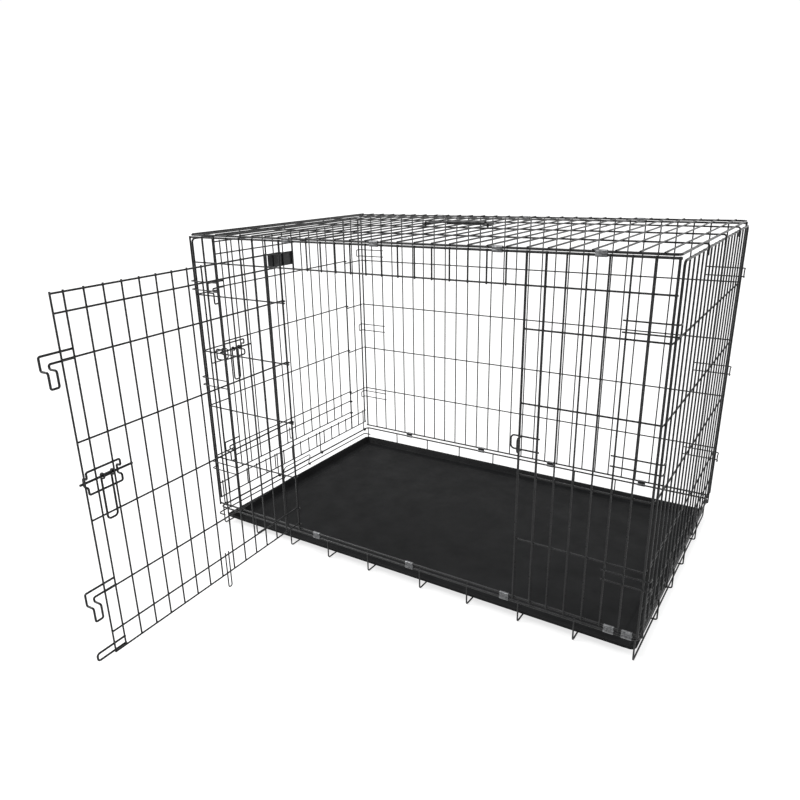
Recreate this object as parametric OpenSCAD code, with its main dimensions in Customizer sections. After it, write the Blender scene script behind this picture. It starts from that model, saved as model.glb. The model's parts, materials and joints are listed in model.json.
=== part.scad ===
// Folding wire dog crate: welded wire panels on a wire base, two doors, slide bolts and a tray.
// Origin: centre of the footprint on the floor. +X to the right end, -Y to the front, +Z up.

/* [Crate] */
// Length between the end panels' wires
crate_l = 1220; // [1100:10:1300]
// Width between the front and rear panels' wires
crate_w = 770; // [700:10:820]
// Height of the top panel's frame above the floor
top_z = 846; // [842:1:850]
// Height of the base rim above the floor
rim_z = 56; // [54:1:58]

/* [Wire] */
// Frame wire diameter
frame_d = 5; // [4.6:0.1:5.4]
// Level wires' diameter
level_d = 3.8; // [3.6:0.1:4]
// Upright wires' diameter
rod_d = 3.7; // [3.5:0.1:3.8]
// Diameter of the top hooks', prongs', handle rings' and tray stop's wire
hook_d = 3.2; // [3:0.1:3.4]
// Wire diameter of the door hooks, bolt guides, bolt handles and staples
trim_d = 4.4; // [4.2:0.1:4.5]
// Distance between the axes of two wires welded across each other
weld = 2.8; // [2.6:0.1:3]
// Free gap round a wire that an eye turns on
eye_gap = 0.5; // [0.4:0.05:0.6]

/* [Front doorway] */
// Front door's hinge wire, left of the middle
door_hinge_x = -301; // [-305:1:-297]
// Front door's width from its hinge wire
door_w = 612; // [610:1:614]
// Angle at which the front door stands open
door_open = 87.06; // [0:0.01:148]

/* [End doorway] */
// End door's hinge wire, behind the middle
end_hinge_y = 292; // [288:1:296]
// End door's width from its hinge wire
end_door_w = 590; // [588:1:592]

/* [Bolts] */
// Front bolt's height
front_bolt_z = 452; // [448:1:456]
// End bolt's height
end_bolt_z = 507; // [503:1:511]
// Bolt rod diameter
bolt_d = 5; // [4.8:0.1:5.2]

/* [Tray] */
// Tray length over its lip
tray_l = 1208; // [1180:2:1210]
// Tray width over its lip
tray_w = 750; // [740:2:752]
// Height of the lip's top above the floor
tray_lip_z = 25.5; // [22:0.5:26]
// Tray wall thickness
tray_t = 2; // [1.6:0.1:2.4]

/* [Carry handle] */
// Distance between the bail's legs
bail_w = 156; // [150:2:162]
// Reach of the bail from its pivot
bail_reach = 57; // [52:1:60]

/* [Hidden] */
$fn = 32;

half_l = crate_l / 2;
half_w = crate_w / 2;
panel_y = half_w;                      // level wires of the front and rear panels
upright_y = half_w + weld;             // their upright wires, on the outside
end_x = half_l;                        // level wires of the end panels
end_upright_x = half_l + weld;         // their upright wires, on the outside
post_x = half_l - 3;                   // corner posts of the front and rear panels
end_post_y = half_w - 9;               // corner posts of the end panels
level_zs = [218, 374, 534, 690];       // level wires, the same on all four sides
header_z = 776;                        // lower wire of the header over the front doorway
front_top_z = top_z - 6;               // top wire of the front and rear panels
bottom_z = rim_z + 12;                 // bottom wire of the front and rear panels
doorway_x = 329;                       // right edge of the front doorway
end_top_z = top_z - 11;                // top wire of the end panels
sill_zs = [84, 129];                   // level wires under the end door
end_doorway_y = end_hinge_y - end_door_w - 7;
front_post = doorway_x - door_hinge_x; // doorways' far posts, from their hinge wires
end_post = end_hinge_y - end_doorway_y;
corner_r = 10;                         // bend of the end panels' top corners
wire_end = 3;                          // how far a wire runs past the axis of the last one it crosses
top_pitch = 42;                        // spacing of the top panel's wires

eye_r = frame_d / 2 + eye_gap + level_d / 2;  // door eyes, round a hinge wire
hinge_out = 3.4;                       // hinge wires, outside their panel's level wires
door_level_y = -eye_r;                 // door parts, outward of the hinge wire
door_upright_y = door_level_y - weld;
door_trim_y = door_upright_y - 3.3;
bolt_y = -17.8;
bolt_start = 119;                      // bolt rod's inner end, back from the door's free edge
bolt_tip = 4;                          // bolt rod's tip past the free edge when drawn back
guide_rise = 23;                       // guide wires above and below the bolt
handle_eye_r = bolt_d / 2 + 0.4 + trim_d / 2;
handle_from = 71;                      // the handle's eyes, back from the free edge
handle_to = 47;
handle_drop = 95;
handle_curl = 255;
front_level_zs = [81, 129, 224, 380, 540, 696, 778, 812];
end_level_zs = [144, 188, 224, 380, 540, 696, 786, 819];

tab_r = frame_d / 2 + 0.3 + rod_d / 2; // eyes of the end panels' hinge tabs
rail_x = end_upright_x - tab_r;        // base rim's end rails, which the tabs turn on
foot_y = half_w - 3.4;                 // legs of the floor wires, inside the rim
floor_wire_z = rod_d / 2;
cross_wire_z = floor_wire_z + weld;
left_wire_d = 4;
left_wire_x = -half_l - 12;
left_wire_z = 30;

function unit(v) = v / norm(v);

// A straight piece of wire between two points.
module rod(p, q, d) {
    v = q - p;
    translate(p)
        rotate([0, acos(v.z / norm(v)), atan2(v.y, v.x)])
            cylinder(d = d, h = norm(v));
}

// An arc of wire round a centre: it starts at centre + r * from and sets off along toward.
module curl(centre, from, toward, r, turn, d) {
    axis = cross(from, toward);
    multmatrix([[from.x, toward.x, axis.x, centre.x],
                [from.y, toward.y, axis.y, centre.y],
                [from.z, toward.z, axis.z, centre.z],
                [0, 0, 0, 1]])
        rotate_extrude(angle = turn)
            translate([r, 0])
                circle(d = d);
}

// How much of a straight run the bend at point i uses up.
function bend_cut(p, i, r) = i == 0 || i == len(p) - 1
    ? 0
    : r * tan(acos(unit(p[i] - p[i - 1]) * unit(p[i + 1] - p[i])) / 2);

// One wire through the points, with a true round bend at each corner.
module bent_wire(p, d, r) {
    for (i = [1 : len(p) - 1]) {
        u = unit(p[i] - p[i - 1]);
        rod(p[i - 1] + u * bend_cut(p, i - 1, r), p[i] - u * bend_cut(p, i, r), d);
    }
    for (i = [1 : len(p) - 2]) {
        u = unit(p[i] - p[i - 1]);
        v = unit(p[i + 1] - p[i]);
        start = p[i] - u * bend_cut(p, i, r);
        centre = start + r * cross(unit(cross(u, v)), u);
        curl(centre, (start - centre) / r, u, r, acos(u * v), d);
    }
}

module level_x(x0, x1, y, z, d) {
    rod([x0, y, z], [x1, y, z], d);
}

module level_y(y0, y1, x, z, d) {
    rod([x, y0, z], [x, y1, z], d);
}

module upright(z0, z1, x, y, d) {
    rod([x, y, z0], [x, y, z1], d);
}

// ---- Front panel, in four pieces round its doorway ----

module front_left_grille() {
    color("#26282a") {
        for (z = level_zs)
            level_x(-post_x - wire_end, door_hinge_x + wire_end, -panel_y, z, level_d);
        bays = 7;
        for (i = [0 : bays - 1]) {
            x = -post_x + i * (door_hinge_x + post_x) / bays;
            upright(bottom_z - wire_end, front_top_z + wire_end, x, -upright_y,
                i == 0 ? frame_d : rod_d);
        }
        upright(bottom_z - wire_end, front_top_z + wire_end, door_hinge_x, -panel_y - hinge_out,
            frame_d);
    }
}

module front_header() {
    color("#26282a") {
        level_x(-post_x - wire_end, post_x + wire_end, -panel_y, front_top_z, frame_d);
        level_x(-post_x - wire_end, post_x + wire_end, -panel_y, header_z, level_d);
        bays = 15;
        for (i = [1 : bays - 1]) {
            x = door_hinge_x + i * (doorway_x - door_hinge_x) / bays;
            upright(header_z - wire_end, front_top_z + wire_end, x, -upright_y, rod_d);
        }
    }
}

module front_right_grille() {
    color("#26282a") {
        for (z = level_zs)
            level_x(doorway_x - wire_end, post_x + wire_end, -panel_y, z, level_d);
        bays = 7;
        for (i = [0 : bays])
            upright(bottom_z - wire_end, front_top_z + wire_end,
                doorway_x + i * (post_x - doorway_x) / bays, -upright_y,
                i < 2 || i == bays ? frame_d : rod_d);
    }
}

module front_bottom_wire() {
    color("#26282a")
        level_x(-post_x - wire_end, post_x + wire_end, -panel_y, bottom_z, frame_d);
}

// ---- Rear and top panels ----

rear_bays = 29;
rear_pitch = 2 * post_x / rear_bays;

module rear_panel() {
    color("#26282a") {
        for (z = level_zs)
            level_x(-post_x - wire_end, post_x + wire_end, panel_y, z, level_d);
        for (z = [bottom_z, front_top_z])
            level_x(-post_x - wire_end, post_x + wire_end, panel_y, z, frame_d);
        for (i = [0 : rear_bays])
            upright(bottom_z - wire_end, front_top_z + wire_end, -post_x + i * rear_pitch,
                upright_y, i == 0 || i == rear_bays ? frame_d : rod_d);
    }
}

top_hook_root = half_l + 1;            // ends of the top panel's level wires
top_hook_x = half_l + 8.5;             // hooks on those ends, outside the end panels
top_hook_drop = 22;

module top_panel() {
    color("#26282a") {
        bent_wire([[0, -panel_y, top_z], [post_x, -panel_y, top_z], [post_x, panel_y, top_z],
            [-post_x, panel_y, top_z], [-post_x, -panel_y, top_z], [0, -panel_y, top_z]],
            frame_d, corner_r);
        for (x = [door_hinge_x - 7 * top_pitch : top_pitch : post_x - top_pitch / 2])
            level_y(-panel_y - wire_end, panel_y + wire_end, x, top_z + weld, rod_d);
        for (y = [-half_w / 2, 0, half_w / 2])
            level_x(-top_hook_root, top_hook_root, y, top_z, level_d);
    }
}

module top_end_hooks() {
    color("#26282a")
        for (flip = [0, 1], y = [-half_w / 2, 0, half_w / 2])
            mirror([flip, 0, 0])
                bent_wire([[top_hook_root, y, top_z], [top_hook_x, y, top_z],
                    [top_hook_x, y, top_z - top_hook_drop]], level_d, 5);
}

// ---- Base ----

module base_rim() {
    color("#26282a")
        bent_wire([[0, -panel_y, rim_z], [rail_x, -panel_y, rim_z], [rail_x, panel_y, rim_z],
            [-rail_x, panel_y, rim_z], [-rail_x, -panel_y, rim_z], [0, -panel_y, rim_z]],
            frame_d, 12);
}

foot_first = 78.5;                     // the middle pair of feet, from the middle
foot_pitch = 131;
cross_ys = [-214, -63.5, 63.5, 214];

module base_floor_grid() {
    top = rim_z + wire_end;
    color("#26282a") {
        for (side = [-1, 1], k = [0 : 4]) {
            x = side * (foot_first + k * foot_pitch);
            bent_wire([[x, -foot_y, top], [x, -foot_y, floor_wire_z], [x, foot_y, floor_wire_z],
                [x, foot_y, top]], rod_d, 6);
        }
        for (y = cross_ys)
            bent_wire([[-half_l + 5, y, cross_wire_z], [rail_x + 3.4, y, cross_wire_z],
                [rail_x + 3.4, y, top]], rod_d, 5);
    }
}

module base_left_wire() {
    end = -half_l + 14;
    color("#26282a")
        bent_wire([[end, -panel_y, left_wire_z], [left_wire_x, -panel_y, left_wire_z],
            [left_wire_x, panel_y, left_wire_z], [end, panel_y, left_wire_z]], left_wire_d, 9);
}

// ---- Sheet-metal clips that join two level wires, one above the other ----

clip_l = 22;
clip_t = 1.2;
clip_gap = 0.15;

// Two rolls joined by a narrower web.
module clip_outline(rise, r, web) {
    circle(r = r);
    translate([0, rise])
        circle(r = r);
    translate([-web, 0])
        square([2 * web, rise]);
}

module clip(x, y, z, rise) {
    inner = frame_d / 2 + clip_gap;
    translate([x - clip_l / 2, y, z])
        rotate([90, 0, 90])
            difference() {
                linear_extrude(clip_l)
                    clip_outline(rise, inner + clip_t, 0.3 + clip_t);
                translate([0, 0, -1])
                    linear_extrude(clip_l + 2)
                        clip_outline(rise, inner, 0.3);
            }
}

module front_bottom_clips() {
    color("#6f7478")
        for (x = [-243, 51, 307, 547, 585])
            clip(x, -panel_y, rim_z, bottom_z - rim_z);
}

module front_top_clips() {
    color("#6f7478")
        for (x = [-280, -28, 266, 471])
            clip(x, -panel_y, front_top_z, top_z - front_top_z);
}

module rear_bottom_clips() {
    color("#6f7478")
        for (bay = [4, 11, 17, 24])
            clip(-post_x + (bay + 0.5) * rear_pitch, panel_y, rim_z, bottom_z - rim_z);
}

module rear_top_clips() {
    color("#6f7478")
        for (bay = [7, 14, 22]) {
            left = door_hinge_x + (bay - 7) * top_pitch;
            right = -post_x + (bay + 1) * rear_pitch;
            clip((left + right) / 2, panel_y, front_top_z, top_z - front_top_z);
        }
}

// ---- Corner hooks: hairpins that reach round the outside of the end panels' posts ----

module corner_hook(z) {
    arm_y = -upright_y - 2.8;
    arm_x = post_x - 86;
    tip_x = half_l + 10;
    tip_y = -half_w + 13;
    rise = 11;
    bent_wire([[arm_x, arm_y, z + rise], [tip_x, arm_y, z + rise], [tip_x, tip_y, z + rise],
        [tip_x, tip_y, z - rise], [tip_x, arm_y, z - rise], [arm_x, arm_y, z - rise]],
        hook_d, 5);
}

hook_zs = [192, 448, 715];

module front_corner_hooks() {
    color("#26282a")
        for (z = hook_zs, flip = [0, 1])
            mirror([flip, 0, 0])
                corner_hook(z);
}

module rear_corner_hooks() {
    color("#26282a")
        mirror([0, 1, 0])
            for (z = hook_zs, flip = [0, 1])
                mirror([flip, 0, 0])
                    corner_hook(z);
}

// ---- Doors, drawn shut: hinge wire on the Z axis, free edge along +X, outward -Y ----

module place_front_door() {
    translate([door_hinge_x, -panel_y - hinge_out, 0])
        rotate([0, 0, -door_open])
            children();
}

module at_front_doorway() {
    translate([door_hinge_x, -panel_y - hinge_out, 0])
        children();
}

module at_end_doorway() {
    translate([-end_x - hinge_out, end_hinge_y, 0])
        rotate([0, 0, -90])
            children();
}

// Grid of a door. A level wire with no eye stops short of the hinge wire.
module door_grid(w, zs, pitch, plain_z) {
    low = zs[0] - wire_end;
    high = zs[len(zs) - 1] + wire_end;
    for (z = zs)
        if (z == plain_z) {
            level_x(12, w + wire_end, door_level_y, z, level_d);
        } else {
            level_x(0, w + wire_end, door_level_y, z, level_d);
            curl([0, 0, z], [0, -1, 0], [-1, 0, 0], eye_r, 270, level_d);
        }
    for (x = [w - 26 : -pitch : 14])
        upright(low, high, x, door_upright_y, rod_d);
    upright(low, high, w, door_upright_y, level_d);
}

// Hairpin that reaches past the doorway's post, inwards under a level wire and down behind it.
module door_hook(w, post, wire_z) {
    root = w - 27;
    near = post + 6;
    far = near + 17;
    in_y = 8.2;
    high = wire_z + 20;
    low = wire_z + 3;
    turn_z = wire_z - 6;
    end_z = wire_z - 36;
    bent_wire([[root, door_trim_y, high], [far, door_trim_y, high], [far, door_trim_y, turn_z],
        [far, in_y, turn_z], [far, in_y, end_z], [near, in_y, end_z], [near, in_y, turn_z],
        [near, door_trim_y, turn_z], [near, door_trim_y, low], [root, door_trim_y, low]],
        trim_d, 3.6);
}

module door_prong(x0, x1, z_top, z_low) {
    bent_wire([[x0, door_upright_y, z_top], [x0, door_upright_y, z_low],
        [x1, door_upright_y, z_low], [x1, door_upright_y, z_top]], hook_d, 5);
}

// Wire loop on the door whose two ends bow out over the bolt and hold it.
module bolt_guide(w, z) {
    out_y = bolt_y - bolt_d / 2 - 0.5 - trim_d / 2;
    x0 = w - 86;
    x1 = w - 8;
    mid = (x0 + x1) / 2;
    hi = z + guide_rise;
    lo = z - guide_rise;
    bow = 9;
    y = door_trim_y;
    bent_wire([[mid, y, hi], [x1, y, hi], [x1, y, z + bow], [x1, out_y, z + bow],
        [x1, out_y, z - bow], [x1, y, z - bow], [x1, y, lo], [x0, y, lo], [x0, y, z - bow],
        [x0, out_y, z - bow], [x0, out_y, z + bow], [x0, y, z + bow], [x0, y, hi],
        [mid, y, hi]], trim_d, 3.6);
}

// Rod with a sleeve between the handle's eyes, so that the handle pulls it along.
module bolt_rod(w, z) {
    sleeve_d = 8;
    gap = trim_d / 2 + 0.6;
    level_x(w - bolt_start, w + bolt_tip, bolt_y, z, bolt_d);
    level_x(w - handle_from + gap, w - handle_to - gap, bolt_y, z, sleeve_d);
}

// Loop handle that hangs from the rod by two eyes.
module bolt_handle(w, z) {
    leg_y = bolt_y - handle_eye_r;
    x0 = w - handle_from;
    x1 = w - handle_to;
    bent_wire([[x0, leg_y, z], [x0, leg_y, z - handle_drop], [x1, leg_y, z - handle_drop],
        [x1, leg_y, z]], trim_d, 8);
    for (x = [x0, x1])
        curl([x, bolt_y, z], [0, -1, 0], [0, 0, 1], handle_eye_r, handle_curl, trim_d);
}

keeper_y = -2.6;
keeper_rise = 12;                      // keeper's wires above and below the bolt
keeper_fall = 18;

// Hoop welded across the doorway's post and the next upright.
module bolt_keeper(post, z) {
    x0 = post - 17;
    x1 = post + 46;
    hi = z + keeper_rise;
    lo = z - keeper_fall;
    bent_wire([[x1, keeper_y, hi], [x0, keeper_y, hi], [x0, keeper_y, lo], [x1, keeper_y, lo]],
        rod_d, 8);
}

// Staple that stands out from the keeper, round the bolt's tip.
module bolt_staple(post, z) {
    out_y = bolt_y - bolt_d / 2 - 0.8 - trim_d / 2;
    x = post + 6;
    hi = z + keeper_rise;
    lo = z - keeper_fall;
    bent_wire([[x, keeper_y, hi], [x, out_y, hi], [x, out_y, lo], [x, keeper_y, lo]], trim_d, 5);
}

front_pitch = 41.6;
end_pitch = 43;

module front_door_grid() {
    color("#26282a")
        place_front_door()
            door_grid(door_w, front_level_zs, front_pitch, 778);
}

module front_door_upper_hook() {
    color("#26282a")
        place_front_door()
            door_hook(door_w, front_post, level_zs[3]);
}

module front_door_lower_hook() {
    color("#26282a")
        place_front_door()
            door_hook(door_w, front_post, level_zs[0]);
}

module front_door_bottom_loop() {
    color("#26282a")
        place_front_door()
            bent_wire([[door_w - 30, door_trim_y, 97], [door_w + 40, door_trim_y, 97],
                [door_w + 40, door_trim_y, 81], [door_w - 30, door_trim_y, 81]], trim_d, 6);
}

module front_door_prong() {
    color("#26282a")
        place_front_door()
            door_prong(268, 279, 134, 39);
}

module front_bolt_guide() {
    color("#26282a")
        place_front_door()
            bolt_guide(door_w, front_bolt_z);
}

module front_bolt_rod() {
    color("#26282a")
        place_front_door()
            bolt_rod(door_w, front_bolt_z);
}

module front_bolt_handle() {
    color("#26282a")
        place_front_door()
            bolt_handle(door_w, front_bolt_z);
}

module front_bolt_keeper() {
    color("#26282a")
        at_front_doorway()
            bolt_keeper(front_post, front_bolt_z);
}

module front_bolt_staple() {
    color("#26282a")
        at_front_doorway()
            bolt_staple(front_post, front_bolt_z);
}

module end_door_grid() {
    color("#26282a")
        at_end_doorway()
            door_grid(end_door_w, end_level_zs, end_pitch, 0);
}

module end_door_upper_hook() {
    color("#26282a")
        at_end_doorway()
            door_hook(end_door_w, end_post, level_zs[3]);
}

module end_door_lower_hook() {
    color("#26282a")
        at_end_doorway()
            door_hook(end_door_w, end_post, level_zs[0]);
}

module end_door_prong() {
    color("#26282a")
        at_end_doorway()
            door_prong(324, 336, 194, 154);
}

// Blank name plate with rounded corners, riveted flat on the door's upright wires.
module end_door_nameplate() {
    plate_l = 115;
    plate_h = 41;
    plate_t = 1.2;
    centre_x = end_hinge_y + 24;
    centre_z = 740;
    plate_y = door_upright_y - rod_d / 2 + 0.2;
    color("#1c1d1f")
        at_end_doorway()
            translate([centre_x - plate_l / 2, plate_y, centre_z - plate_h / 2])
                rotate([90, 0, 0])
                    linear_extrude(plate_t)
                        union() {
                            translate([3, 0])
                                square([plate_l - 6, plate_h]);
                            translate([0, 3])
                                square([plate_l, plate_h - 6]);
                            for (x = [3, plate_l - 3], y = [3, plate_h - 3])
                                translate([x, y])
                                    circle(r = 3);
                        }
}

module end_bolt_guide() {
    color("#26282a")
        at_end_doorway()
            bolt_guide(end_door_w, end_bolt_z);
}

module end_bolt_rod() {
    color("#26282a")
        at_end_doorway()
            bolt_rod(end_door_w, end_bolt_z);
}

module end_bolt_handle() {
    color("#26282a")
        at_end_doorway()
            bolt_handle(end_door_w, end_bolt_z);
}

module end_bolt_keeper() {
    color("#26282a")
        at_end_doorway()
            bolt_keeper(end_post, end_bolt_z);
}

module end_bolt_staple() {
    color("#26282a")
        at_end_doorway()
            bolt_staple(end_post, end_bolt_z);
}

// ---- End panels ----

foot_of_end = sill_zs[0] - wire_end;

// Inverted U of frame wire: two posts and the top rail.
module end_frame() {
    x = end_upright_x;
    bent_wire([[x, -end_post_y, foot_of_end], [x, -end_post_y, end_top_z],
        [x, end_post_y, end_top_z], [x, end_post_y, foot_of_end]], frame_d, corner_r);
}

// Tab that hangs from the lowest wires and turns round the base rim's rail.
module hinge_tab(y) {
    upright(rim_z, sill_zs[1] + wire_end, end_upright_x, y, rod_d);
    curl([rail_x, y, rim_z], [1, 0, 0], [0, 0, -1], tab_r, 270, rod_d);
}

module left_end_frame() {
    color("#26282a")
        mirror([1, 0, 0])
            end_frame();
}

module left_end_front_strip() {
    middle_y = (end_doorway_y - end_post_y) / 2;
    color("#26282a") {
        for (z = level_zs)
            level_y(-end_post_y - wire_end, end_doorway_y + wire_end, -end_x, z, level_d);
        upright(foot_of_end, end_top_z + wire_end, -end_upright_x, middle_y, rod_d);
        upright(foot_of_end, end_top_z + wire_end, -end_upright_x, end_doorway_y, frame_d);
    }
}

module left_end_rear_strip() {
    color("#26282a") {
        for (z = level_zs)
            level_y(end_hinge_y - wire_end, end_post_y + wire_end, -end_x, z, level_d);
        upright(foot_of_end, end_top_z + wire_end, -end_upright_x, (end_hinge_y + end_post_y) / 2,
            rod_d);
        upright(foot_of_end, end_top_z + wire_end, -end_x - hinge_out, end_hinge_y, frame_d);
    }
}

module left_end_sill() {
    color("#26282a") {
        for (z = sill_zs)
            level_y(-end_post_y - wire_end, end_post_y + wire_end, -end_x, z, level_d);
        for (y = [end_doorway_y + end_pitch : end_pitch : end_hinge_y - 20])
            upright(foot_of_end, sill_zs[1] + wire_end, -end_upright_x, y, rod_d);
    }
}

module left_end_hinge_tabs() {
    color("#26282a")
        mirror([1, 0, 0])
            for (y = [-365, -123, 101, 365])
                hinge_tab(y);
}

module right_end_panel() {
    bays = 18;
    color("#26282a") {
        end_frame();
        for (z = concat(sill_zs, level_zs))
            level_y(-end_post_y - wire_end, end_post_y + wire_end, end_x, z, level_d);
        for (i = [1 : bays - 1])
            upright(foot_of_end, end_top_z + wire_end, end_upright_x,
                -end_post_y + i * 2 * end_post_y / bays, rod_d);
    }
}

module right_end_hinge_tabs() {
    color("#26282a")
        for (y = [-365, -145, 145, 365])
            hinge_tab(y);
}

// ---- Carry handle on the top panel ----

pivot_y = -55;
pivot_z = top_z + 13;
bracket_x = bail_w / 2 + 10;
bail_d = 5;

module carry_handle_brackets() {
    ring_r = bail_d / 2 + 0.4 + hook_d / 2;
    color("#26282a")
        for (side = [-1, 1]) {
            x = side * bracket_x;
            curl([x, pivot_y, pivot_z], [0, 1, 0], [0, 0, 1], ring_r, 360, hook_d);
            level_x(x - 28, x + 28, pivot_y, top_z + 2 * weld, rod_d);
        }
}

grip_y = pivot_y + bail_reach;

module carry_handle_bail() {
    x0 = bail_w / 2;
    x1 = bail_w / 2 + 20;
    color("#26282a")
        bent_wire([[-x1, pivot_y, pivot_z], [-x0, pivot_y, pivot_z], [-x0, grip_y, pivot_z],
            [x0, grip_y, pivot_z], [x0, pivot_y, pivot_z], [x1, pivot_y, pivot_z]], bail_d, 7);
}

// Moulded grip, turned round the bail, with a swelling at each end.
module carry_handle_grip() {
    half = 56;
    color("#1a1a1b")
        translate([0, grip_y, pivot_z])
            rotate([0, 90, 0])
                rotate_extrude()
                    polygon([[bail_d / 2, -half], [6, -half], [7.6, -half + 3], [7.6, -half + 8],
                        [6.6, -half + 14], [6.6, half - 14], [7.6, half - 8], [7.6, half - 3],
                        [6, half], [bail_d / 2, half]]);
}

// ---- Tray and its stop ----

tray_z = cross_wire_z + rod_d / 2 + 0.3;

module rounded_slab(l, w, r, z, h) {
    translate([0, 0, z])
        linear_extrude(h)
            offset(r = r)
                square([l - 2 * r, w - 2 * r], center = true);
}

// Slanted tub between a low and a high outline.
module tub(l0, w0, z0, l1, w1, z1) {
    hull() {
        rounded_slab(l0, w0, 10, z0, 0.1);
        rounded_slab(l1, w1, 12, z1 - 0.1, 0.1);
    }
}

module tray() {
    flange = 8;
    draft = 9;
    l1 = tray_l - 2 * flange;
    w1 = tray_w - 2 * flange;
    l0 = l1 - 2 * draft;
    w0 = w1 - 2 * draft;
    t = 2 * tray_t;
    color("#161718")
        difference() {
            union() {
                tub(l0, w0, tray_z, l1, w1, tray_lip_z);
                rounded_slab(tray_l, tray_w, 14, tray_lip_z - tray_t, tray_t);
            }
            tub(l0 - t, w0 - t, tray_z + tray_t, l1 - t, w1 - t, tray_lip_z + 0.1);
        }
}

module tray_stop() {
    r = left_wire_d / 2 + 0.4 + hook_d / 2;
    rise = 37;
    lean = 16;
    y0 = -89;
    y1 = 47;
    color("#26282a")
        translate([left_wire_x, 0, left_wire_z])
            rotate([0, lean, 0]) {
                bent_wire([[-r, y0, 0], [-r, y0, rise], [-r, y1, rise], [-r, y1, 0]], hook_d, 10);
                for (y = [y0, y1])
                    curl([0, y, 0], [-1, 0, 0], [0, 0, -1], r, 255, hook_d);
            }
}

front_left_grille();
front_header();
front_right_grille();
front_bottom_wire();
rear_panel();
top_panel();
top_end_hooks();
base_rim();
base_floor_grid();
base_left_wire();
front_bottom_clips();
front_top_clips();
rear_bottom_clips();
rear_top_clips();
front_corner_hooks();
rear_corner_hooks();
front_bolt_keeper();
front_bolt_staple();
carry_handle_brackets();
carry_handle_bail();
carry_handle_grip();
left_end_frame();
left_end_front_strip();
left_end_rear_strip();
left_end_sill();
left_end_hinge_tabs();
end_bolt_keeper();
end_bolt_staple();
right_end_panel();
right_end_hinge_tabs();
front_door_grid();
front_door_upper_hook();
front_door_lower_hook();
front_door_bottom_loop();
front_door_prong();
front_bolt_guide();
front_bolt_rod();
front_bolt_handle();
end_door_grid();
end_door_upper_hook();
end_door_lower_hook();
end_door_prong();
end_door_nameplate();
end_bolt_guide();
end_bolt_rod();
end_bolt_handle();
tray();
tray_stop();
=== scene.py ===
"""Looks of the wire dog crate: coats, weld beads, moulded tray, pressed clips, name plate and grip."""
import json
import math

import bmesh
import bpy
import numpy as np
from mathutils import Matrix, Vector


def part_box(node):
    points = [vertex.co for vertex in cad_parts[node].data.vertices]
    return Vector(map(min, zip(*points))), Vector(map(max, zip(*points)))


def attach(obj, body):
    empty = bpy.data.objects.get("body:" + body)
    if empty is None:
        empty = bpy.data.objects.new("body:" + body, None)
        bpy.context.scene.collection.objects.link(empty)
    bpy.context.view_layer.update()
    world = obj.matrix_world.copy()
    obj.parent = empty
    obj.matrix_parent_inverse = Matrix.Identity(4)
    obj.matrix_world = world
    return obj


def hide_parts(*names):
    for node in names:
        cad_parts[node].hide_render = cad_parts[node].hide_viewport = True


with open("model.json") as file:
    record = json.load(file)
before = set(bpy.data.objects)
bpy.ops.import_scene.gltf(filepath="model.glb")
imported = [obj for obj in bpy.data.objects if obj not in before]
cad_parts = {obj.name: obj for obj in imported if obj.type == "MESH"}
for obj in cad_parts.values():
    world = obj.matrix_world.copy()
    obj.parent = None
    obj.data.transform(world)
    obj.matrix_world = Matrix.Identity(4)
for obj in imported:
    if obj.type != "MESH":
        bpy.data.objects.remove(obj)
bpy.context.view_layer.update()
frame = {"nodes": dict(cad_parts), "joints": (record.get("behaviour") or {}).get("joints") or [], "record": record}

MM = 0.001

FRONT_CLIPS = ("front_bottom_clips", "front_top_clips")
REAR_CLIPS = ("rear_bottom_clips", "rear_top_clips")


# ---------------------------------------------------------------- mesh helpers

def make_object(name, bm, material, body, smooth_angle=35):
    """Turns a bmesh into an object that rides on a body."""
    bmesh.ops.recalc_face_normals(bm, faces=bm.faces)
    limit = math.radians(smooth_angle)
    for face in bm.faces:
        face.smooth = True
    for edge in bm.edges:
        edge.smooth = len(edge.link_faces) == 2 and edge.calc_face_angle(0) < limit
    mesh = bpy.data.meshes.new(name)
    bm.to_mesh(mesh)
    bm.free()
    obj = bpy.data.objects.new(name, mesh)
    bpy.context.collection.objects.link(obj)
    mesh.materials.append(material)
    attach(obj, body)
    return obj


def stitch(bm, low, high):
    """Joins two rings of the same number of vertices with quads."""
    n = len(low)
    for i in range(n):
        j = (i + 1) % n
        bm.faces.new((low[i], low[j], high[j], high[i]))


def loft(bm, rings, to_world):
    """A closed shell through rings of points, capped at both ends."""
    rows = [[bm.verts.new(to_world @ Vector(p)) for p in ring] for ring in rings]
    for low, high in zip(rows, rows[1:]):
        stitch(bm, low, high)
    bm.faces.new(rows[0][::-1])
    bm.faces.new(rows[-1])
    return rows


def rounded_ring(half_x, half_y, radius, z, per_corner=7, along_x=24, along_y=16):
    """Points round a rectangle with round corners. Every ring has the same count."""
    most = 0.98
    radius = min(radius, half_x * most, half_y * most)
    inner_x, inner_y = half_x - radius, half_y - radius
    corners = [(inner_x, -inner_y, -90), (inner_x, inner_y, 0),
               (-inner_x, inner_y, 90), (-inner_x, -inner_y, 180)]
    points = []
    for k, (cx, cy, start) in enumerate(corners):
        for i in range(per_corner):
            a = math.radians(start + 90 * i / (per_corner - 1))
            points.append((cx + radius * math.cos(a), cy + radius * math.sin(a), z))
        nx, ny, _ = corners[(k + 1) % 4]
        a = math.radians(start + 90)
        here = Vector((cx + radius * math.cos(a), cy + radius * math.sin(a), z))
        there = Vector((nx + radius * math.cos(a), ny + radius * math.sin(a), z))
        steps = along_y if k % 2 == 0 else along_x
        for i in range(1, steps):
            points.append(tuple(here.lerp(there, i / steps)))
    return points


# ---------------------------------------------------------------- materials

def new_material(name):
    """A material, its nodes and links, and its shader."""
    material = bpy.data.materials.new(name)
    material.use_nodes = True
    nodes = material.node_tree.nodes
    return material, nodes, material.node_tree.links, nodes["Principled BSDF"]


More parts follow.
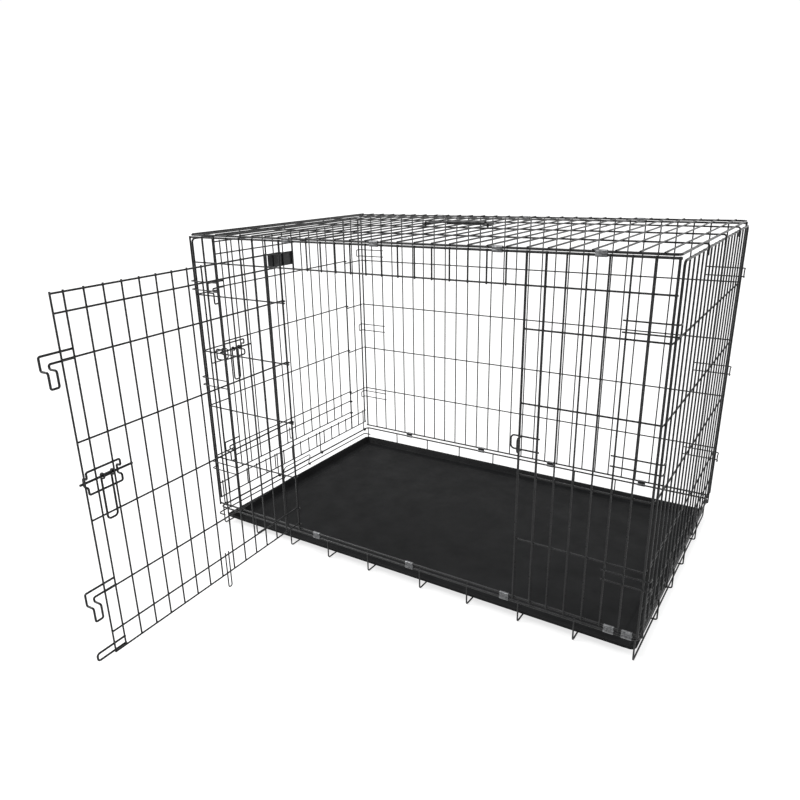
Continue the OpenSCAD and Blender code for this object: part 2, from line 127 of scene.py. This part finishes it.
def noise(nodes, links, scale, detail=3.0, roughness=0.5):
    """Noise in object space, so that it rides with the piece."""
    where = nodes.new("ShaderNodeTexCoord")
    texture = nodes.new("ShaderNodeTexNoise")
    texture.inputs["Scale"].default_value = scale
    texture.inputs["Detail"].default_value = detail
    texture.inputs["Roughness"].default_value = roughness
    links.new(where.outputs["Object"], texture.inputs["Vector"])
    return texture.outputs["Fac"]


def spread(nodes, links, value, low, high, into):
    """Maps the middle of a 0..1 value, where noise mostly lies, onto low..high for a socket."""
    ramp = nodes.new("ShaderNodeMapRange")
    ramp.inputs["From Min"].default_value = 0.3
    ramp.inputs["From Max"].default_value = 0.7
    ramp.inputs["To Min"].default_value = low
    ramp.inputs["To Max"].default_value = high
    links.new(value, ramp.inputs["Value"])
    links.new(ramp.outputs["Result"], into)


def tint(nodes, links, value, dark, light, into):
    """Fades from one colour to another over the middle of a 0..1 value, for a socket."""
    ramp = nodes.new("ShaderNodeValToRGB")
    ramp.color_ramp.elements[0].position = 0.32
    ramp.color_ramp.elements[0].color = (*dark, 1)
    ramp.color_ramp.elements[1].position = 0.72
    ramp.color_ramp.elements[1].color = (*light, 1)
    links.new(value, ramp.inputs["Fac"])
    links.new(ramp.outputs["Color"], into)


def bump(nodes, links, shader, height, strength, distance):
    """Roughens a shader's normal by a 0..1 height, over a depth in metres."""
    bumper = nodes.new("ShaderNodeBump")
    bumper.inputs["Strength"].default_value = strength
    bumper.inputs["Distance"].default_value = distance
    links.new(height, bumper.inputs["Height"])
    links.new(bumper.outputs["Normal"], shader.inputs["Normal"])


def coated_wire():
    """Black electro-coat over steel: semi-gloss, a little uneven, greyer in patches."""
    material, nodes, links, shader = new_material("wire_coat_black")
    tint(nodes, links, noise(nodes, links, 55, 4), (0.0025, 0.0026, 0.003),
         (0.008, 0.0083, 0.009), shader.inputs["Base Color"])
    spread(nodes, links, noise(nodes, links, 140, 3), 0.26, 0.42, shader.inputs["Roughness"])
    bump(nodes, links, shader, noise(nodes, links, 900, 2), 0.12, 0.0002)
    shader.inputs["Specular IOR Level"].default_value = 0.3
    return material


def clip_steel():
    """Rolled sheet steel, dull in patches and rubbed bright on its faces."""
    material, nodes, links, shader = new_material("clip_steel_rubbed")
    tint(nodes, links, noise(nodes, links, 240, 5, 0.65), (0.05, 0.051, 0.053),
         (0.22, 0.223, 0.228), shader.inputs["Base Color"])
    spread(nodes, links, noise(nodes, links, 420, 4), 0.3, 0.5, shader.inputs["Roughness"])
    bump(nodes, links, shader, noise(nodes, links, 700, 3), 0.15, 0.0002)
    shader.inputs["Metallic"].default_value = 0.7
    return material


def moulded_plastic(name, dark, light, rough_low, rough_high, grain, depth, gloss=0.3):
    """Black plastic with a moulded grain and slow changes of tone."""
    material, nodes, links, shader = new_material(name)
    shader.inputs["Specular IOR Level"].default_value = gloss
    tint(nodes, links, noise(nodes, links, 9, 5, 0.6), dark, light, shader.inputs["Base Color"])
    spread(nodes, links, noise(nodes, links, 16, 4, 0.6), rough_low, rough_high,
           shader.inputs["Roughness"])
    bump(nodes, links, shader, noise(nodes, links, grain, 3), 0.3, depth)
    return material


def studio_floor():
    """White floor that is lit a little from within, so that shadows on it stay faint."""
    material, nodes, links, shader = new_material("studio_floor_white")
    tint(nodes, links, noise(nodes, links, 2, 3), (0.3, 0.3, 0.3), (0.32, 0.32, 0.32),
         shader.inputs["Base Color"])
    shader.inputs["Roughness"].default_value = 0.7
    shader.inputs["Emission Color"].default_value = (1, 1, 1, 1)
    shader.inputs["Emission Strength"].default_value = 0.76
    return material


WIRE = coated_wire()
CLIP = clip_steel()
TRAY = moulded_plastic("tray_plastic_black", (0.0058, 0.006, 0.0063), (0.0105, 0.0107, 0.0112),
                       0.42, 0.56, 950, 0.0003, 0.05)
GRIP = moulded_plastic("grip_plastic_black", (0.008, 0.008, 0.0085), (0.014, 0.014, 0.015),
                       0.3, 0.42, 800, 0.0002)
PLATE = moulded_plastic("name_plate_black", (0.005, 0.005, 0.0055), (0.011, 0.011, 0.012),
                        0.3, 0.45, 600, 0.0001)
NODE_MATERIALS = {"wire_coat": WIRE, "clip_steel": CLIP, "tray_plastic": TRAY,
                  "grip_plastic": GRIP, "name_plate": PLATE}


def coat_cad_nodes():
    """Gives each CAD node the better material of its slot."""
    for part in frame["record"]["subparts"]:
        obj = frame["nodes"][part["node"]]
        material = NODE_MATERIALS[part["material_slot"]]
        for slot in obj.material_slots:
            slot.material = material


# ---------------------------------------------------------------- weld beads

def clusters(values, gap=2 * MM):
    """Centres of the groups in a sorted set of numbers."""
    values = np.sort(values)
    groups = np.split(values, np.where(np.diff(values) > gap)[0] + 1)
    return [(g.min() + g.max()) / 2 for g in groups]


def local_points(node, to_local):
    """A node's vertices in a panel's own axes: u along it, v through it, z up."""
    obj = frame["nodes"][node]
    turn = np.array(to_local)
    co = np.array([v.co for v in obj.data.vertices])
    world = np.array(obj.matrix_world)
    co = co @ world[:3, :3].T + world[:3, 3]
    return co @ turn[:3, :3].T + turn[:3, 3]


def wire_grid(points):
    """Where a grille's upright and level wires lie, read off their cut ends."""
    near = 0.05 * MM
    top = points[points[:, 2] > points[:, 2].max() - near]
    side = points[points[:, 0] > points[:, 0].max() - near]
    return clusters(top[:, 0]), clusters(side[:, 2]), top[:, 1].mean(), side[:, 1].mean()


def angles_round(count):
    """Evenly spaced angles round a circle."""
    return [2 * math.pi * k / count for k in range(count)]


def bead(bm, centre, axes, size):
    """A squeezed bead of weld and coat: four rings of eight points, with flat ends."""
    rings = []
    ring_count = 4
    for i in range(1, ring_count + 1):
        tilt = math.pi * i / (ring_count + 1)
        ring = [centre + axes @ Vector((size[0] * math.sin(tilt) * math.cos(a),
                                        size[1] * math.sin(tilt) * math.sin(a),
                                        size[2] * math.cos(tilt)))
                for a in angles_round(8)]
        rings.append([bm.verts.new(p) for p in ring])
    for low, high in zip(rings, rings[1:]):
        stitch(bm, low, high)
    bm.faces.new(rings[0][::-1])
    bm.faces.new(rings[-1])


def weld_beads(node, body, to_local=Matrix()):
    """One bead at every crossing of a grille's upright and level wires."""
    uprights, levels, upright_v, level_v = wire_grid(local_points(node, to_local))
    back = to_local.inverted()
    # The bead's third axis, its thin one, runs through the panel.
    turn = back.to_3x3() @ Matrix(((1, 0, 0), (0, 0, -1), (0, 1, 0)))
    size = (2.5 * MM, 2.5 * MM, 1.9 * MM)
    v = (upright_v + level_v) / 2
    bm = bmesh.new()
    for u in uprights:
        for z in levels:
            bead(bm, back @ Vector((u, v, z)), turn, size)
    return make_object(node + "_welds", bm, WIRE, body, 80)


def end_panel_axes():
    """An end panel's own axes: u along +Y, v along +X."""
    return Matrix(((0, 1, 0, 0), (1, 0, 0, 0), (0, 0, 1, 0), (0, 0, 0, 1)))


def top_panel_axes():
    """The top panel's own axes: u along +X, v along +Z and its cross wires along +Y."""
    return Matrix(((1, 0, 0, 0), (0, 0, 1, 0), (0, 1, 0, 0), (0, 0, 0, 1)))


def joint(name):
    """The record's row for a joint."""
    return next(j for j in frame["joints"] if j["name"] == name)


def door_axes(hinge_name, bolt_name):
    """A door's own axes: u from its hinge to its free edge, the way its bolt slides."""
    hinge = Vector(joint(hinge_name)["pos_m"])
    u = Vector(joint(bolt_name)["axis"]).normalized()
    turn = Matrix(((u.x, u.y, 0), (-u.y, u.x, 0), (0, 0, 1))).to_4x4()
    return turn @ Matrix.Translation((-hinge.x, -hinge.y, 0))


def all_weld_beads():
    """Weld beads on every grille, riding on its body."""
    for node in ("front_left_grille", "front_right_grille", "front_header", "rear_panel"):
        weld_beads(node, "cage")
    weld_beads("top_panel", "cage", top_panel_axes())
    for node in ("left_end_front_strip", "left_end_rear_strip", "left_end_sill"):
        weld_beads(node, "left_end", end_panel_axes())
    weld_beads("right_end_panel", "right_end", end_panel_axes())
    weld_beads("front_door_grid", "front_door", door_axes("front_door_swing", "front_bolt_slide"))
    weld_beads("end_door_grid", "end_door", door_axes("end_door_swing", "end_bolt_slide"))


# ---------------------------------------------------------------- tray

def tray_profile(top, bottom):
    """From under the tray, round its lip and down to its floor.

    Each row: inset from the lip's edge and corner radius in millimetres, then its height.
    """
    under = [(60, 8, bottom), (24, 9, bottom), (19.5, 9.5, bottom + 0.4 * MM),
             (17.6, 10, bottom + 2 * MM), (9.6, 11.5, top - 4 * MM), (8.6, 12, top - 2.6 * MM),
             (2.2, 13, top - 2.2 * MM), (1.6, 13.4, top - 2.6 * MM)]
    lip = [(1.4, 13.6, top - 3.4 * MM), (0.2, 14, top - 3.4 * MM), (0, 14, top - 3 * MM),
           (0, 14, top - 0.9 * MM), (0.3, 14, top - 0.3 * MM), (1, 13.5, top),
           (6.4, 12.5, top), (7.4, 12, top - 0.25 * MM), (8.4, 11.5, top - 1.1 * MM)]
    wall = [(10.6, 11, top - 4.4 * MM), (17.8, 10, bottom + 5 * MM),
            (18.9, 9.8, bottom + 3.2 * MM), (20.4, 9.5, bottom + 2.3 * MM),
            (23, 9, bottom + 2 * MM)]
    channel = [(38, 9, bottom + 2 * MM), (40, 9, bottom + 2.3 * MM),
               (42.5, 9, bottom + 3.2 * MM), (44.5, 9, bottom + 3.5 * MM)]
    return under + lip + wall + channel


def wavy(ring, depth=0.28 * MM):
    """A ring of the tray's floor with the slow waves of thin moulded sheet."""
    return [(x, y, z + depth * math.sin(9 * x + 1) * math.sin(11 * y)) for x, y, z in ring]


def moulded_tray():
    """Vacuum-formed pan: rolled lip, drafted walls, a channel round a raised floor."""
    low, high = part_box("tray")
    half_x, half_y = (high.x - low.x) / 2, (high.y - low.y) / 2
    centre = Matrix.Translation(((low.x + high.x) / 2, (low.y + high.y) / 2, 0))
    rings = [rounded_ring(half_x - inset * MM, half_y - inset * MM, radius * MM, z)
             for inset, radius, z in tray_profile(high.z, low.z)]
    floor_z = low.z + 3.5 * MM
    for inset in range(56, 372, 12):
        ring = rounded_ring(half_x - inset * MM, half_y - inset * MM, 9 * MM, floor_z)
        rings.append(wavy(ring))
    bm = bmesh.new()
    loft(bm, rings, centre)
    piece = make_object("tray_moulding", bm, TRAY, "tray", 50)
    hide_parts("tray")


# ---------------------------------------------------------------- clips

def arc(centre, radius, start, end, steps):
    """Points on an arc, with its angles in degrees."""
    turns = (math.radians(start + (end - start) * k / steps) for k in range(steps + 1))
    return [(centre[0] + radius * math.cos(a), centre[1] + radius * math.sin(a)) for a in turns]


def clip_section(rise, radius, thickness):
    """Outline, across two level wires, of a strip rolled round both and pinched between them."""
    mid = radius + thickness / 2
    half = rise / 2
    # The share of the pinch's arc that the seam between the strip's two edges leaves open.
    seam = 0.12
    # Half the gap between the strip's two sides at the pinch, then the pinch's own radius.
    waist = 0.9 * MM if half > mid + MM else 0.78 * mid
    pinch = (half ** 2 + waist ** 2 - mid ** 2) / (2 * (mid - waist))
    lean = math.degrees(math.atan2(half, pinch + waist))
    far = pinch + waist
    line = arc((far, half), pinch, 180 + seam * lean, 180 + lean, 4)[:-1]
    line += arc((0, 0), mid, lean, -180 - lean, 18)
    line += arc((-far, half), pinch, -lean, lean, 8)[1:-1]
    line += arc((0, rise), mid, 180 + lean, -lean, 18)
    line += arc((far, half), pinch, 180 - lean, 180 - seam * lean, 4)[1:]
    outer, inner = [], []
    for i, (y, z) in enumerate(line):
        before, after = line[max(i - 1, 0)], line[min(i + 1, len(line) - 1)]
        along = Vector((after[0] - before[0], after[1] - before[1])).normalized()
        outer.append((y - along.y * thickness / 2, z + along.x * thickness / 2))
        inner.append((y + along.y * thickness / 2, z - along.x * thickness / 2))
    return outer + inner[::-1]


def clip_points(node):
    """Each clip's own points. A clip has points only at its two ends along X."""
    obj = frame["nodes"][node]
    co = np.array([obj.matrix_world @ v.co for v in obj.data.vertices])
    ends = clusters(co[:, 0], MM)
    return [co[(co[:, 0] > first - MM) & (co[:, 0] < last + MM)]
            for first, last in zip(ends[::2], ends[1::2])]


def pressed_clips(node, facing):
    """Sheet-metal clips with a seam on one side and eased ends."""
    bm = bmesh.new()
    thickness = 1.15 * MM
    ease = 0.35 * MM
    eased = 0.93
    for points in clip_points(node):
        low, high = points.min(0), points.max(0)
        radius = (high[1] - low[1]) / 2 - thickness
        rise = high[2] - low[2] - 2 * (radius + thickness)
        y, z = (low[1] + high[1]) / 2, low[2] + radius + thickness
        section = clip_section(rise, radius, thickness)
        middle = rise / 2
        rings = []
        for x, shrink in ((low[0], eased), (low[0] + ease, 1), (high[0] - ease, 1),
                          (high[0], eased)):
            rings.append([(x, y + facing * sy * shrink, z + middle + (sz - middle) * shrink)
                          for sy, sz in section])
        loft(bm, rings, Matrix())
    piece = make_object(node + "_pressed", bm, CLIP, "cage", 40)
    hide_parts(node)


# ---------------------------------------------------------------- name plate and grip

def rivet(bm, thick, axes):
    """Domed rivet head that stands on the plate's sunk field."""
    # Each row: radius and height in millimetres.
    dome = [(2.1, 0), (2.1, 0.55), (1.9, 0.8), (1.4, 1.0), (0.6, 1.1)]
    loft(bm, [[(r * MM * math.cos(a), r * MM * math.sin(a), thick * 0.1 + h * MM)
               for a in angles_round(16)] for r, h in dome], axes)


def stamped_plate():
    """Blank plate with a raised border, a sunk field and four rivets."""
    low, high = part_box("end_door_nameplate")
    half_u, half_z = (high.y - low.y) / 2, (high.z - low.z) / 2
    thick = high.x - low.x
    from_edge = 7 * MM
    middle = Vector((high.x, (low.y + high.y) / 2, (low.z + high.z) / 2))
    # The plate's own axes: x along it, y up, z outward from the door.
    axes = Matrix(((0, 0, -1, middle.x), (-1, 0, 0, middle.y), (0, 1, 0, middle.z),
                   (0, 0, 0, 1)))
    # Each section: inset and corner radius in millimetres, then its height.
    sections = [(0.4, 2.6, 0), (0, 3, 0.2 * MM), (0, 3, thick - 0.35 * MM),
                (0.3, 2.8, thick - 0.1 * MM), (0.7, 2.6, thick), (2.2, 2, thick),
                (2.7, 1.8, thick - 0.12 * MM), (3.3, 1.6, thick - 0.45 * MM),
                (12, 1.5, thick - 0.5 * MM)]
    bm = bmesh.new()
    loft(bm, [rounded_ring(half_u - i * MM, half_z - i * MM, r * MM, z, 5, 6, 4)
              for i, r, z in sections], axes)
    for u in (-1, 1):
        for w in (-1, 1):
            at = Matrix.Translation((u * (half_u - from_edge), w * (half_z - from_edge), 0))
            rivet(bm, thick, axes @ at)
    piece = make_object("end_door_plate", bm, PLATE, "end_door", 30)
    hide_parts("end_door_nameplate")


def moulded_grip():
    """Grip with flared ends and finger swells, slightly oval."""
    low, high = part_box("carry_handle_grip")
    half = (high.x - low.x) / 2
    radius = (high.y - low.y) / 2
    centre = (low + high) / 2
    rings = []
    steps = 72
    for i in range(steps + 1):
        s = -1 + 2 * i / steps
        flare = 0.13 * math.exp(-((1 - abs(s)) / 0.07) ** 2)
        swell = 0.05 * math.cos(4 * math.pi * s)
        ease = 1 - 0.22 * max(0.0, (abs(s) - 0.975) / 0.025) ** 2
        r = radius * (0.82 + flare + swell * (abs(s) < 0.875)) * ease
        rings.append([(centre.x + s * half, centre.y + r * math.cos(a),
                       centre.z + 0.93 * r * math.sin(a))
                      for a in angles_round(32)])
    bm = bmesh.new()
    loft(bm, rings, Matrix())
    piece = make_object("carry_grip", bm, GRIP, "carry_handle", 60)
    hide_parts("carry_handle_grip")


# ---------------------------------------------------------------- studio

def floor():
    """A plain floor, 30 m each way from the crate."""
    bm = bmesh.new()
    bmesh.ops.create_grid(bm, x_segments=1, y_segments=1, size=30)
    mesh = bpy.data.meshes.new("studio_floor")
    bm.to_mesh(mesh)
    bm.free()
    obj = bpy.data.objects.new("studio_floor", mesh)
    bpy.context.collection.objects.link(obj)
    mesh.materials.append(studio_floor())


def studio_world():
    """White backdrop behind the crate, fading to a dim room on the viewer's side."""
    world = bpy.data.worlds.new("studio_world")
    world.use_nodes = True
    nodes, links = world.node_tree.nodes, world.node_tree.links
    where = nodes.new("ShaderNodeTexCoord")
    facing = nodes.new("ShaderNodeVectorMath")
    facing.operation = "DOT_PRODUCT"
    facing.inputs[1].default_value = (-0.54, 0.8, 0.27)
    fade = nodes.new("ShaderNodeMapRange")
    fade.inputs["From Min"].default_value = -0.35
    fade.inputs["From Max"].default_value = 0.1
    fade.inputs["To Min"].default_value = 0.1
    fade.inputs["To Max"].default_value = 1.02
    links.new(where.outputs["Generated"], facing.inputs[0])
    links.new(facing.outputs["Value"], fade.inputs["Value"])
    links.new(fade.outputs["Result"], nodes["Background"].inputs["Strength"])
    nodes["Background"].inputs["Color"].default_value = (1, 1, 1, 1)
    return world


def key_light():
    """Broad, soft light from the upper left."""
    light = bpy.data.lights.new("key_soft", "SUN")
    light.energy = 1.9
    light.angle = math.radians(34)
    obj = bpy.data.objects.new("key_soft", light)
    bpy.context.collection.objects.link(obj)
    toward = Vector((-0.5, -0.3, 0.8))
    obj.rotation_euler = toward.to_track_quat("Z", "Y").to_euler()


def area_light(name, place, target, size, power):
    """A soft round light that faces a target."""
    light = bpy.data.lights.new(name, "AREA")
    light.shape = "DISK"
    light.size = size
    light.energy = power
    obj = bpy.data.objects.new(name, light)
    bpy.context.collection.objects.link(obj)
    obj.location = place
    obj.rotation_euler = (Vector(target) - Vector(place)).to_track_quat("-Z", "Y").to_euler()


def studio():
    """Floor, world and lights, with colours shown as they are."""
    floor()
    bpy.context.scene.world = studio_world()
    key_light()
    area_light("right_soft", (3.2, -1.2, 1.9), (0, 0, 0.4), 1.2, 30)
    area_light("front_left_soft", (-2, -2.1, 2.5), (-0.1, -0.38, 0.6), 0.8, 45)
    bpy.context.scene.view_settings.view_transform = "Standard"


def camera():
    """Camera at the photograph's angle: a low view of the front and the right end."""
    place = (0.8567, -1.6797, 1.0001)
    azimuth, elevation, roll = math.radians(33.878), math.radians(19.711), math.radians(-1.556)
    ahead = Vector((-math.sin(azimuth) * math.cos(elevation),
                    math.cos(azimuth) * math.cos(elevation), -math.sin(elevation)))
    right = ahead.cross(Vector((0, 0, 1))).normalized()
    up = right.cross(ahead)
    side = math.cos(roll) * right + math.sin(roll) * up
    above = -math.sin(roll) * right + math.cos(roll) * up
    data = bpy.data.cameras.new("photo_camera")
    data.lens = 31.53
    data.sensor_width = 36
    data.shift_x = 0.0198
    data.shift_y = 0.0224
    obj = bpy.data.objects.new("photo_camera", data)
    bpy.context.collection.objects.link(obj)
    turn = Matrix((side, above, -ahead)).transposed().to_4x4()
    obj.matrix_world = Matrix.Translation(place) @ turn
    bpy.context.scene.camera = obj


camera()
studio()
coat_cad_nodes()
all_weld_beads()
moulded_tray()
for clip_node in FRONT_CLIPS:
    pressed_clips(clip_node, 1)
for clip_node in REAR_CLIPS:
    pressed_clips(clip_node, -1)
stamped_plate()
moulded_grip()
